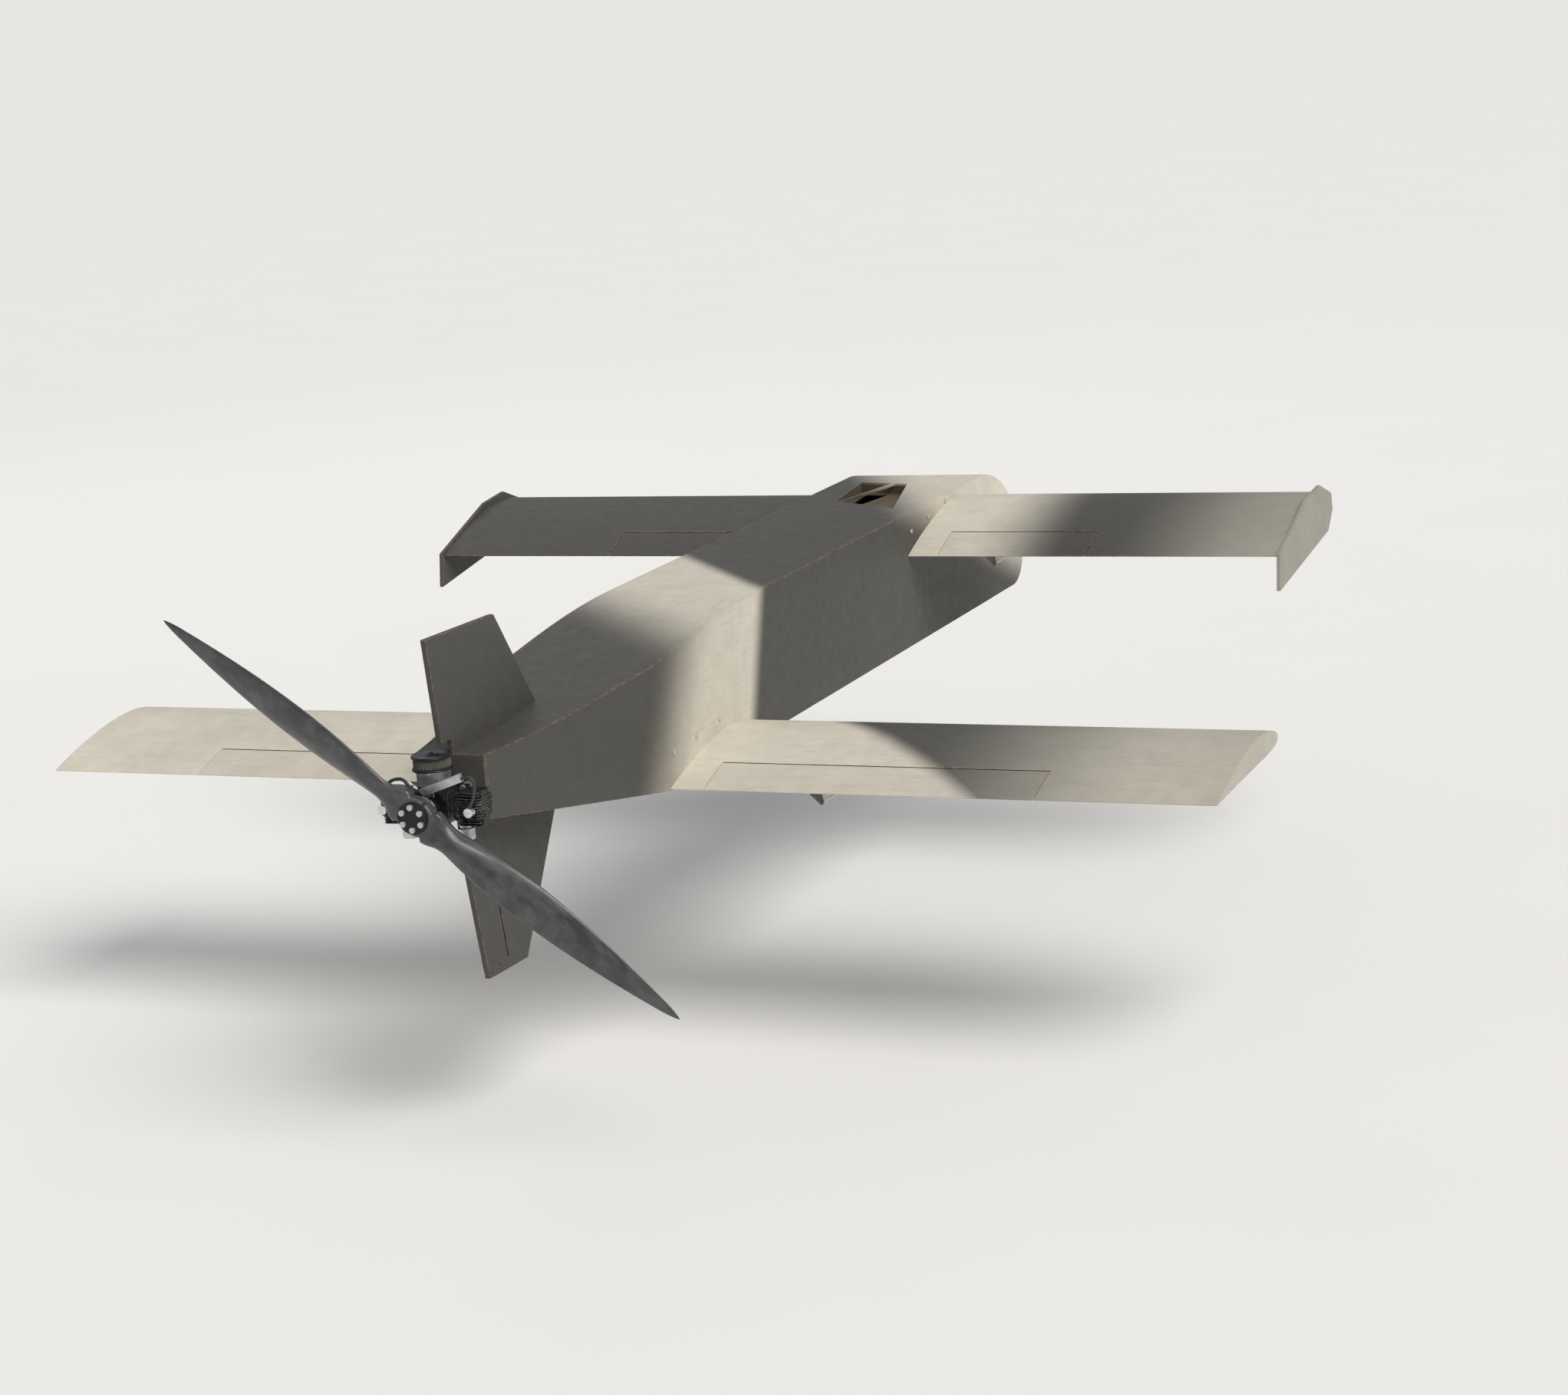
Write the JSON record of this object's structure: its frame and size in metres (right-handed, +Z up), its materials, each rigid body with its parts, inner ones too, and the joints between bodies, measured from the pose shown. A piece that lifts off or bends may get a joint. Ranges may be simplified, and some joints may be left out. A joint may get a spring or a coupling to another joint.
{
  "type": "fixed wing drone",
  "caption": "Tandem-wing drone with a plywood box fuselage, cross tail, opposed twin pusher engine and working elevons, rudder, throttle and hatch.",
  "frame": {"origin": "centre of the launch cradle bolt pattern on the outside of the belly, on the centre line under the centre of gravity", "axes": "+Z up, -Y towards the nose, +X to port"},
  "size_m": [2.3, 2.4285, 0.6575],
  "materials": {
    "painted_plywood": "thin plywood under matt warm grey-cream paint",
    "painted_light_board": "matt paint over light board",
    "bare_plywood": "bare birch plywood",
    "carbon_tube": "woven carbon fibre tube",
    "steel": "plain steel",
    "cast_alloy": "cast and machined alloy",
    "black_alloy": "black coated finned alloy",
    "propeller_composite": "dark moulded composite",
    "filter_foam": "oiled filter gauze with dark end plates",
    "black_plastic": "moulded black plastic",
    "tank_plastic": "milky blow-moulded plastic",
    "hose_rubber": "black fuel hose",
    "blue_case": "anodised case",
    "battery_wrap": "shrink-wrapped cells"
  },
  "bodies": {
    "airframe": {"side_panel_left": "painted_plywood", "side_panel_right": "painted_plywood", "belly_panel": "painted_plywood", "top_deck": "painted_plywood", "nose_cap": "painted_plywood", "firewall": "painted_plywood", "fuselage_frames": "bare_plywood", "inlet_tray": "bare_plywood", "rear_wing_left": "painted_plywood", "rear_wing_right": "painted_plywood", "front_wing_left": "painted_plywood", "front_wing_right": "painted_plywood", "spar_tubes": "carbon_tube", "front_tip_plates": "painted_plywood", "root_screws": "steel", "hinge_pins": "steel", "flight_servos": "black_plastic", "upper_fin": "painted_plywood", "lower_fin": "painted_plywood", "crankcase": "black_alloy", "cylinders": "black_alloy", "spark_plugs": "steel", "carburettor": "cast_alloy", "air_filter": "filter_foam", "exhaust_stubs": "cast_alloy", "ignition_module": "cast_alloy", "engine_posts": "cast_alloy", "fuel_tank": "tank_plastic", "fuel_line": "hose_rubber", "avionics_tray": "bare_plywood", "autopilot": "blue_case", "battery": "battery_wrap"},
    "propeller_group": {"prop_shaft": "steel", "propeller": "propeller_composite", "prop_bolts": "steel"},
    "rear_elevon_left_body": {"rear_elevon_left": "painted_light_board", "rear_horn_left": "painted_light_board"},
    "rear_servo_arm_left_body": {"rear_servo_arm_left": "black_plastic"},
    "rear_pushrod_left_body": {"rear_pushrod_left": "steel"},
    "rear_elevon_right_body": {"rear_elevon_right": "painted_light_board", "rear_horn_right": "painted_light_board"},
    "rear_servo_arm_right_body": {"rear_servo_arm_right": "black_plastic"},
    "rear_pushrod_right_body": {"rear_pushrod_right": "steel"},
    "front_elevon_left_body": {"front_elevon_left": "painted_light_board", "front_horn_left": "painted_light_board"},
    "front_servo_arm_left_body": {"front_servo_arm_left": "black_plastic"},
    "front_pushrod_left_body": {"front_pushrod_left": "steel"},
    "front_elevon_right_body": {"front_elevon_right": "painted_light_board", "front_horn_right": "painted_light_board"},
    "front_servo_arm_right_body": {"front_servo_arm_right": "black_plastic"},
    "front_pushrod_right_body": {"front_pushrod_right": "steel"},
    "rudder_body": {"rudder": "painted_light_board", "rudder_shaft": "steel"},
    "hatch_body": {"equipment_hatch": "painted_plywood"},
    "latch_body": {"hatch_latch": "steel"},
    "throttle_lever_body": {"throttle_lever": "steel"},
    "throttle_arm_body": {"throttle_arm": "black_plastic"},
    "throttle_rod_body": {"throttle_rod": "steel"},
    "fuel_cap_body": {"fuel_cap": "black_plastic"},
    "switch_body": {"power_switch": "black_plastic"}
  },
  "joints": [
    {"name": "propeller_spin", "type": "hinge", "parent": "airframe", "child": "propeller_group", "pos_m": [0, 1.388, 0.118], "axis": [0, 1, 0], "continuous": true},
    {"name": "rear_elevon_left_hinge", "type": "hinge", "parent": "airframe", "child": "rear_elevon_left_body", "pos_m": [0.398, 0.69085, 0.01888], "axis": [1, 0, 0], "range_deg": [-25, 25]},
    {"name": "rear_servo_arm_left_turn", "type": "hinge", "parent": "airframe", "child": "rear_servo_arm_left_body", "pos_m": [0.398, 0.61046, 0.01645], "axis": [1, 0, 0], "range_deg": [-25, 25]},
    {"name": "rear_pushrod_left_pivot", "type": "hinge", "parent": "rear_servo_arm_left_body", "child": "rear_pushrod_left_body", "pos_m": [0.398, 0.6065, -0.0374], "axis": [1, 0, 0], "range_deg": [-25, 25]},
    {"name": "rear_elevon_right_hinge", "type": "hinge", "parent": "airframe", "child": "rear_elevon_right_body", "pos_m": [-0.398, 0.69085, 0.01888], "axis": [1, 0, 0], "range_deg": [-25, 25]},
    {"name": "rear_servo_arm_right_turn", "type": "hinge", "parent": "airframe", "child": "rear_servo_arm_right_body", "pos_m": [-0.398, 0.61046, 0.01645], "axis": [1, 0, 0], "range_deg": [-25, 25]},
    {"name": "rear_pushrod_right_pivot", "type": "hinge", "parent": "rear_servo_arm_right_body", "child": "rear_pushrod_right_body", "pos_m": [-0.398, 0.6065, -0.0374], "axis": [1, 0, 0], "range_deg": [-25, 25]},
    {"name": "front_elevon_left_hinge", "type": "hinge", "parent": "airframe", "child": "front_elevon_left_body", "pos_m": [0.3, -0.45997, 0.20376], "axis": [1, 0, 0], "range_deg": [-25, 25]},
    {"name": "front_servo_arm_left_turn", "type": "hinge", "parent": "airframe", "child": "front_servo_arm_left_body", "pos_m": [0.3, -0.54035, 0.20666], "axis": [1, 0, 0], "range_deg": [-25, 25]},
    {"name": "front_pushrod_left_pivot", "type": "hinge", "parent": "front_servo_arm_left_body", "child": "front_pushrod_left_body", "pos_m": [0.3, -0.54786, 0.15318], "axis": [1, 0, 0], "range_deg": [-25, 25]},
    {"name": "front_elevon_right_hinge", "type": "hinge", "parent": "airframe", "child": "front_elevon_right_body", "pos_m": [-0.3, -0.45997, 0.20376], "axis": [1, 0, 0], "range_deg": [-25, 25]},
    {"name": "front_servo_arm_right_turn", "type": "hinge", "parent": "airframe", "child": "front_servo_arm_right_body", "pos_m": [-0.3, -0.54035, 0.20666], "axis": [1, 0, 0], "range_deg": [-25, 25]},
    {"name": "front_pushrod_right_pivot", "type": "hinge", "parent": "front_servo_arm_right_body", "child": "front_pushrod_right_body", "pos_m": [-0.3, -0.54786, 0.15318], "axis": [1, 0, 0], "range_deg": [-25, 25]},
    {"name": "rudder_hinge", "type": "hinge", "parent": "airframe", "child": "rudder_body", "pos_m": [0, 1.15, -0.206], "axis": [0, 0.1316, 0.9913], "range_deg": [-25, 25]},
    {"name": "hatch_hinge", "type": "hinge", "parent": "airframe", "child": "hatch_body", "pos_m": [0.11, -0.39, 0.003], "axis": [0, -1, 0], "range_deg": [0, 90]},
    {"name": "hatch_latch_turn", "type": "hinge", "parent": "hatch_body", "child": "latch_body", "pos_m": [-0.09, -0.39, 0], "axis": [0, 0, 1], "range_deg": [0, 90]},
    {"name": "throttle_lever_turn", "type": "hinge", "parent": "airframe", "child": "throttle_lever_body", "pos_m": [0.021, 1.315, 0.165], "axis": [1, 0, 0], "range_deg": [-30, 30]},
    {"name": "throttle_arm_turn", "type": "hinge", "parent": "airframe", "child": "throttle_arm_body", "pos_m": [0.028, 1.243, 0.165], "axis": [1, 0, 0], "range_deg": [-30, 30]},
    {"name": "throttle_rod_pivot", "type": "hinge", "parent": "throttle_arm_body", "child": "throttle_rod_body", "pos_m": [0.028, 1.243, 0.151], "axis": [1, 0, 0], "range_deg": [-30, 30]},
    {"name": "fuel_cap_turn", "type": "hinge", "parent": "airframe", "child": "fuel_cap_body", "pos_m": [0.152, 0, 0.15], "axis": [1, 0, 0], "range_deg": [0, 360]},
    {"name": "power_switch_rock", "type": "hinge", "parent": "airframe", "child": "switch_body", "pos_m": [0.149, -0.3, 0.13], "axis": [0, 0, 1], "range_deg": [0, 14]}
  ],
  "couplings": [
    {"joint": "rear_servo_arm_left_turn", "follows": "rear_elevon_left_hinge", "ratio": 1},
    {"joint": "rear_pushrod_left_pivot", "follows": "rear_elevon_left_hinge", "ratio": -1},
    {"joint": "rear_servo_arm_right_turn", "follows": "rear_elevon_right_hinge", "ratio": 1},
    {"joint": "rear_pushrod_right_pivot", "follows": "rear_elevon_right_hinge", "ratio": -1},
    {"joint": "front_servo_arm_left_turn", "follows": "front_elevon_left_hinge", "ratio": 1},
    {"joint": "front_pushrod_left_pivot", "follows": "front_elevon_left_hinge", "ratio": -1},
    {"joint": "front_servo_arm_right_turn", "follows": "front_elevon_right_hinge", "ratio": 1},
    {"joint": "front_pushrod_right_pivot", "follows": "front_elevon_right_hinge", "ratio": -1},
    {"joint": "throttle_arm_turn", "follows": "throttle_lever_turn", "ratio": 1},
    {"joint": "throttle_rod_pivot", "follows": "throttle_lever_turn", "ratio": -1}
  ]
}
